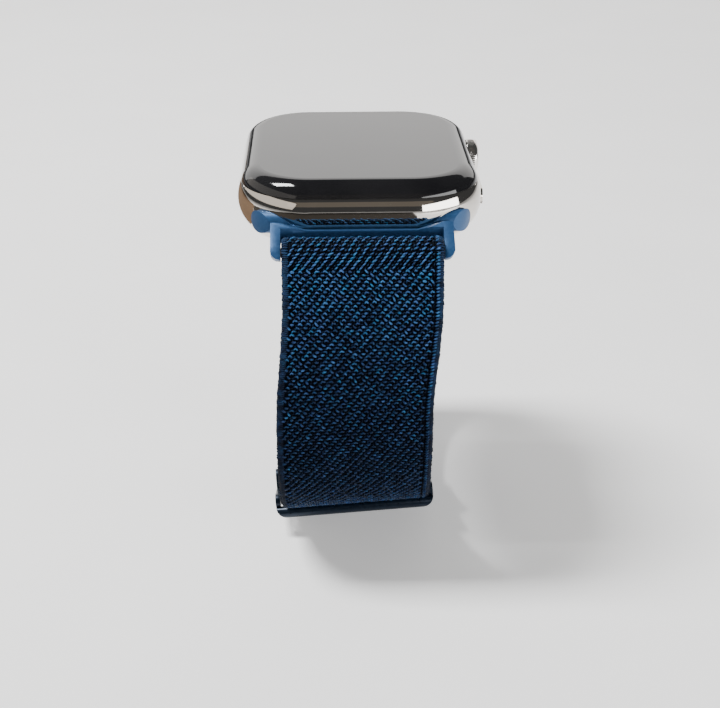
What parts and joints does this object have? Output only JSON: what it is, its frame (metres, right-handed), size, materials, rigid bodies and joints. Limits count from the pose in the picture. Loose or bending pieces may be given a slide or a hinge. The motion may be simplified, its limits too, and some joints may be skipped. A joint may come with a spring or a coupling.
{
  "type": "fitness tracker watch with woven band",
  "caption": "Rounded-rectangle wrist tracker with domed glass, polished case, side crown and button, on a woven elastic loop band with lug adapters and a three-bar slider.",
  "frame": {"origin": "centre of the flat of the back crystal, where the case meets the wrist", "axes": "+X towards the crown side, +Y towards the 12 o'clock end, +Z out of the display"},
  "size_m": [0.0395, 0.0634, 0.0633],
  "materials": {
    "polished_steel": "mirror polished",
    "dark_glass": "glossy, dark, domed at the edge",
    "black_ceramic": "polished black ceramic",
    "black_plastic": "moulded matte",
    "seal_rubber": "soft matte",
    "circuit_board": "solder mask",
    "flex_circuit": "polyimide film",
    "stainless": "fine turned",
    "copper": "enamelled wire",
    "emitter": "clear resin over a die",
    "blue_anodised": "satin blue anodised",
    "blue_webbing": "woven elastic nylon, bright blue knots on a navy ground",
    "navy_slider": "dark navy satin coating"
  },
  "bodies": {
    "case": {"case_body": "polished_steel", "cover_glass": "dark_glass", "glass_gasket": "seal_rubber", "display_panel": "black_plastic", "display_board": "circuit_board", "display_flex": "flex_circuit", "back_plate": "black_ceramic", "back_crystal": "black_ceramic", "optical_barrier": "black_plastic", "light_emitters": "emitter", "photodiodes": "black_plastic", "sensor_board": "circuit_board", "charging_coil": "copper", "alignment_magnet": "stainless", "battery": "black_plastic", "logic_board": "circuit_board", "system_package": "stainless", "haptic_motor": "stainless", "motor_screws": "stainless", "speaker": "black_plastic", "speaker_mesh": "stainless", "microphone": "stainless", "crown_tube": "stainless", "crown_seal": "seal_rubber", "crown_encoder": "black_plastic", "crown_switch": "black_plastic", "crown_spring": "stainless", "side_button_switch": "black_plastic", "side_button_spring": "stainless", "release_spring_near": "stainless", "release_spring_far": "stainless"},
    "crown_push": {"crown_thrust_plate": "stainless"},
    "crown": {"crown_cap": "polished_steel", "crown_stem": "stainless", "crown_clip": "stainless", "encoder_wheel": "black_plastic"},
    "side_button": {"side_button": "polished_steel", "side_button_clip": "stainless"},
    "release_near": {"release_button_near": "black_ceramic"},
    "release_far": {"release_button_far": "black_ceramic"},
    "band": {"band_adapter_near": "blue_anodised", "band_adapter_far": "blue_anodised", "strap_pin_near": "stainless", "strap_pin_far": "stainless", "webbing": "blue_webbing"},
    "slider": {"slider_buckle": "navy_slider", "webbing_end": "blue_webbing"}
  },
  "joints": [
    {"name": "crown_press", "type": "slide", "parent": "case", "child": "crown_push", "axis": [-1, 0, 0], "range_m": [0, 0.00025], "stiffness_N_per_m": 2000, "springref_m": -0.0005, "deforming": ["crown_spring"]},
    {"name": "crown_turn", "type": "hinge", "parent": "crown_push", "child": "crown", "pos_m": [0.0195, 0.0095, 0.0059], "axis": [1, 0, 0], "continuous": true},
    {"name": "side_button_press", "type": "slide", "parent": "case", "child": "side_button", "axis": [-1, 0, 0], "range_m": [0, 0.00025], "stiffness_N_per_m": 2000, "springref_m": -0.0005, "deforming": ["side_button_spring"]},
    {"name": "release_near_press", "type": "slide", "parent": "case", "child": "release_near", "axis": [0, 0, 1], "range_m": [0, 0.0004], "stiffness_N_per_m": 1000, "springref_m": -0.0005, "deforming": ["release_spring_near"]},
    {"name": "release_far_press", "type": "slide", "parent": "case", "child": "release_far", "axis": [0, 0, 1], "range_m": [0, 0.0004], "stiffness_N_per_m": 1000, "springref_m": -0.0005, "deforming": ["release_spring_far"]},
    {"name": "band_slide", "type": "slide", "parent": "case", "child": "band", "axis": [1, 0, 0], "range_m": [-0.036, 0.036]},
    {"name": "slider_travel", "type": "hinge", "parent": "band", "child": "slider", "pos_m": [-0.0035, 0, -0.00841], "axis": [0.9972, 0, 0.075], "range_deg": [-5, 16], "deforming": ["webbing_end"]}
  ]
}
